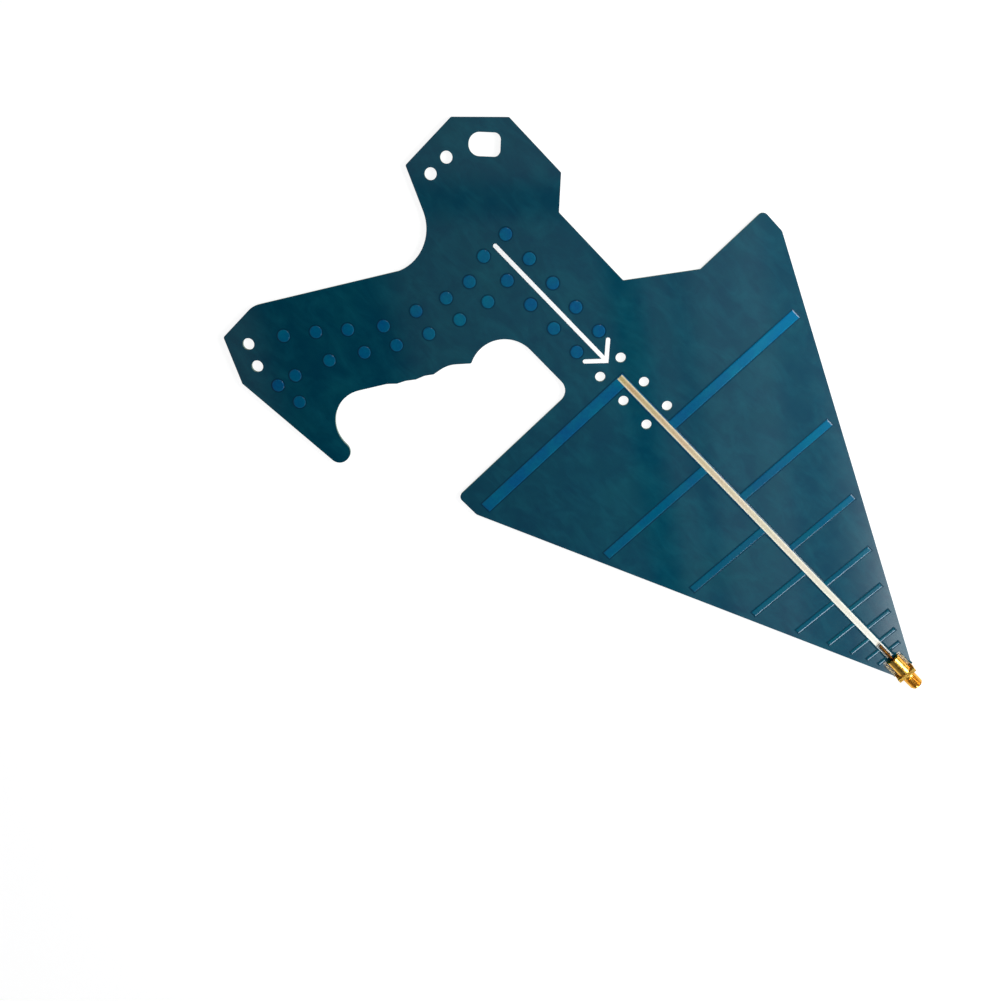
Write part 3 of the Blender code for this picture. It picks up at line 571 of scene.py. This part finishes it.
def make_thread(look):
    """A right-hand ridge wound round the slimmed barrel, running out at both ends."""
    start = RELIEF_END + THREAD_CLEAR
    end = JACK_FRONT - THREAD_CLEAR
    sizes = {"Turns": (end - start) / THREAD_PITCH, "Length": end - start, "Root": THREAD_ROOT,
             "Depth": THREAD_OUTER - THREAD_ROOT, "Base": THREAD_PITCH * THREAD_BASE,
             "Crest": THREAD_CREST}
    tree, given, result = tree_with("wound_thread", {**dict.fromkeys(sizes, "Float"), "Look": "Material"})
    path = add(tree, "GeometryNodeCurveSpiral", Resolution=TURN_STEPS, Rotations=given.outputs["Turns"],
               Start_Radius=given.outputs["Root"], End_Radius=given.outputs["Root"],
               Height=given.outputs["Length"], Reverse=True)
    upright = add(tree, "GeometryNodeSetCurveNormal", {"mode": "Z_UP"}, Curve=path)
    where = add(tree, "GeometryNodeSplineParameter").outputs["Factor"]
    rise = add(tree, "ShaderNodeMapRange", Value=where, From_Max=THREAD_RUNOUT, To_Min=THREAD_THINNEST)
    fall = add(tree, "ShaderNodeMapRange", Value=where, From_Min=1 - THREAD_RUNOUT, To_Min=1.0,
               To_Max=THREAD_THINNEST)
    size = add(tree, "ShaderNodeMath", SMALLER, _0=rise, _1=fall)
    sized = add(tree, "GeometryNodeSetCurveRadius", Curve=upright, Radius=size)
    # the section's first axis points away from the barrel's axis, because the path runs in reverse
    outer = given.outputs["Depth"]
    sunk = add(tree, "ShaderNodeMath", TIMES, _0=outer, _1=-THREAD_SUNK)
    corners = []
    for depth, width, side in ((sunk, "Base", -0.5), (outer, "Crest", -0.5), (outer, "Crest", 0.5),
                               (sunk, "Base", 0.5)):
        along = add(tree, "ShaderNodeMath", TIMES, _0=given.outputs[width], _1=side)
        corners.append(add(tree, "ShaderNodeCombineXYZ", X=depth, Y=along))
    profile = add(tree, "GeometryNodeCurvePrimitiveQuadrilateral", {"mode": "POINTS"},
                  _7=corners[0], _8=corners[1], _9=corners[2], _10=corners[3])
    ridge = add(tree, "GeometryNodeCurveToMesh", Curve=sized, Profile_Curve=profile, Fill_Caps=True)
    real = add(tree, "GeometryNodeRealizeInstances", Geometry=ridge)
    painted = add(tree, "GeometryNodeSetMaterial", Geometry=real, Material=given.outputs["Look"])
    fill(tree, result, {"Geometry": painted})
    piece = grow("jack_thread", [(0, 0, 0)], tree, {**sizes, "Look": look})
    mesh = piece.data
    mesh.transform(Matrix.Translation((start, BOOM_Y, JACK_Z)) @ Matrix.Rotation(math.pi / 2, 4, "Y"))
    work = bmesh.new()
    work.from_mesh(mesh)
    bmesh.ops.recalc_face_normals(work, faces=work.faces)
    work.to_mesh(mesh)
    work.free()
    finish_mesh(mesh, look)
    return piece


def make_floor():
    """A white paper sweep under the antenna, lit from within so that it stays white."""
    mesh = bpy.data.meshes.new("studio_floor")
    work = bmesh.new()
    bmesh.ops.create_grid(work, x_segments=1, y_segments=1, size=FLOOR_REACH)
    work.to_mesh(mesh)
    work.free()
    paper, tree, shader, _ = material("white_paper_sweep")
    fill(tree, shader, {"Base Color": FLOOR_GREY, "Roughness": 0.9, "Emission Color": "FFFFFF",
                        "Emission Strength": FLOOR_GLOW})
    mesh.materials.append(paper)
    floor = placed("studio_floor", mesh)


def make_sky():
    """Grey walls and the ceiling's panels and beams, which run on a slant across the board."""
    world = bpy.data.worlds.new("studio")
    bpy.context.scene.world = world
    world.use_nodes = True
    sky = world.node_tree
    ray = add(sky, "ShaderNodeSeparateXYZ", Vector=add(sky, "ShaderNodeTexCoord").outputs["Generated"])
    rise = add(sky, "ShaderNodeMath", LARGER, _0=ray.outputs["Z"], _1=LOWEST_RAY)
    east = add(sky, "ShaderNodeMath", OVER, _0=ray.outputs["X"], _1=rise)
    north = add(sky, "ShaderNodeMath", OVER, _0=ray.outputs["Y"], _1=rise)
    eastward = add(sky, "ShaderNodeMath", TIMES, _0=east, _1=ALONG[0])
    along = add(sky, "ShaderNodeMath", TIMES_PLUS, _0=north, _1=ALONG[1], _2=eastward)
    eastward = add(sky, "ShaderNodeMath", TIMES, _0=east, _1=UPWARD[0])
    upward = add(sky, "ShaderNodeMath", TIMES_PLUS, _0=north, _1=UPWARD[1], _2=eastward)
    level = add(sky, "ShaderNodeMapRange", Value=along, From_Min=PANEL_LOW, From_Max=PANEL_HIGH)
    width = PANEL_HIGH - PANEL_LOW
    stops = [((place - PANEL_LOW) / width, glow) for place, glow in PANELS]
    panels = add(sky, "ShaderNodeValToRGB", {"stops": stops}, Fac=level)
    level = add(sky, "ShaderNodeMapRange", Value=upward, From_Min=BEAM_LOW, From_Max=BEAM_HIGH)
    beams = add(sky, "ShaderNodeValToRGB", {"stops": BEAM}, Fac=level)
    west = add(sky, "ShaderNodeMapRange", Value=along, From_Min=BEAM_FADES[0], From_Max=BEAM_FADES[1],
               To_Min=1.0, To_Max=0.0)
    crossed = add(sky, "ShaderNodeMix", COLOUR, _0=west, _6="FFFFFF", _7=beams)
    ceiling = add(sky, "ShaderNodeMix", {**COLOUR, "blend_type": "MULTIPLY"}, _0=1.0, _6=panels,
                  _7=crossed)
    walls = add(sky, "ShaderNodeValToRGB",
                {"stops": ((0.08, "F4F4F4"), (0.25, "8E8E8E"), (0.7, "7C7C7C"))}, Fac=ray.outputs["Z"])
    overhead = add(sky, "ShaderNodeMapRange", {"interpolation_type": "SMOOTHSTEP"},
                   Value=ray.outputs["Z"], From_Min=CEILING_STARTS[0], From_Max=CEILING_STARTS[1])
    shade = add(sky, "ShaderNodeMix", COLOUR, _0=overhead, _6=walls, _7=ceiling)
    fill(sky, sky.nodes["Background"], {"Color": shade, "Strength": 1.0})


def make_softbox(name, place, target, size, power, colour):
    """A rectangular softbox that faces a point."""
    light = bpy.data.lights.new(name, "AREA")
    light.shape = "RECTANGLE"
    light.size, light.size_y = size
    light.energy = power
    light.color = linear(colour)[:3]
    lamp = placed(name, light)
    lamp.location = place
    lamp.rotation_mode = "QUATERNION"
    lamp.rotation_quaternion = (Vector(target) - Vector(place)).to_track_quat("-Z", "Y")


def make_camera():
    """The photograph's own viewpoint."""
    view = bpy.data.cameras.new("camera")
    view.sensor_width = CAMERA_SENSOR
    view.lens = CAMERA_LENS
    view.clip_start, view.clip_end = CAMERA_NEAREST, CAMERA_FARTHEST
    camera = placed("camera", view)
    camera.rotation_mode = "QUATERNION"
    camera.location = CAMERA_PLACE
    camera.rotation_quaternion = CAMERA_TURN
    bpy.context.scene.camera = camera
    bpy.context.scene.view_settings.view_transform = "Standard"


mask = make_mask()
masked_copper = make_masked_copper()
plating = make_plating()
ink = make_ink()
gold = make_gold()
flux_and_dark_reflection_gold = make_flux_and_dark_reflection_gold()
insulator = make_insulator()
solder = make_solder()

# The board and what is etched and printed on it
board = softened("board_panel", "laminate_board", mask, BOARD_EDGE)
install(board, "solder_mask", "laminate_board")
for side, face in (("front", 1), ("rear", -1)):
    trace = ink_over(side + "_masked_trace", outline_of(side + "_radiator", face), face, masked_copper)
    install(trace, "masked_copper", side + "_radiator")
dots = sorted(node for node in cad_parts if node.startswith("grip_dot"))
install(make_dots(dots, masked_copper), "masked_copper", *dots)
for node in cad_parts:
    if "plating" in node or "pad" in node:
        dress(node, plating)
dress("arrow_print", ink)

# The jack and its solder
dress("jack_insulator", insulator)
dress("jack_contact", flux_and_dark_reflection_gold)
shell = softened("jack_shell", "jack_body", gold, BRASS_EDGE, reshape=slim_barrel)
install(shell, "gold_plate", "jack_body")
thread = make_thread(gold)
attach(thread, "root")
for node in list(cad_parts):
    if "solder" in node:
        bead = softened(node + "_fillet", node, solder, SOLDER_EDGE, SOLDER_STEPS)
        install(bead, "solder", node)

# Floor, light and camera
make_floor()
make_sky()
for name, settings in SOFTBOXES.items():
    make_softbox(name, *settings)
make_camera()
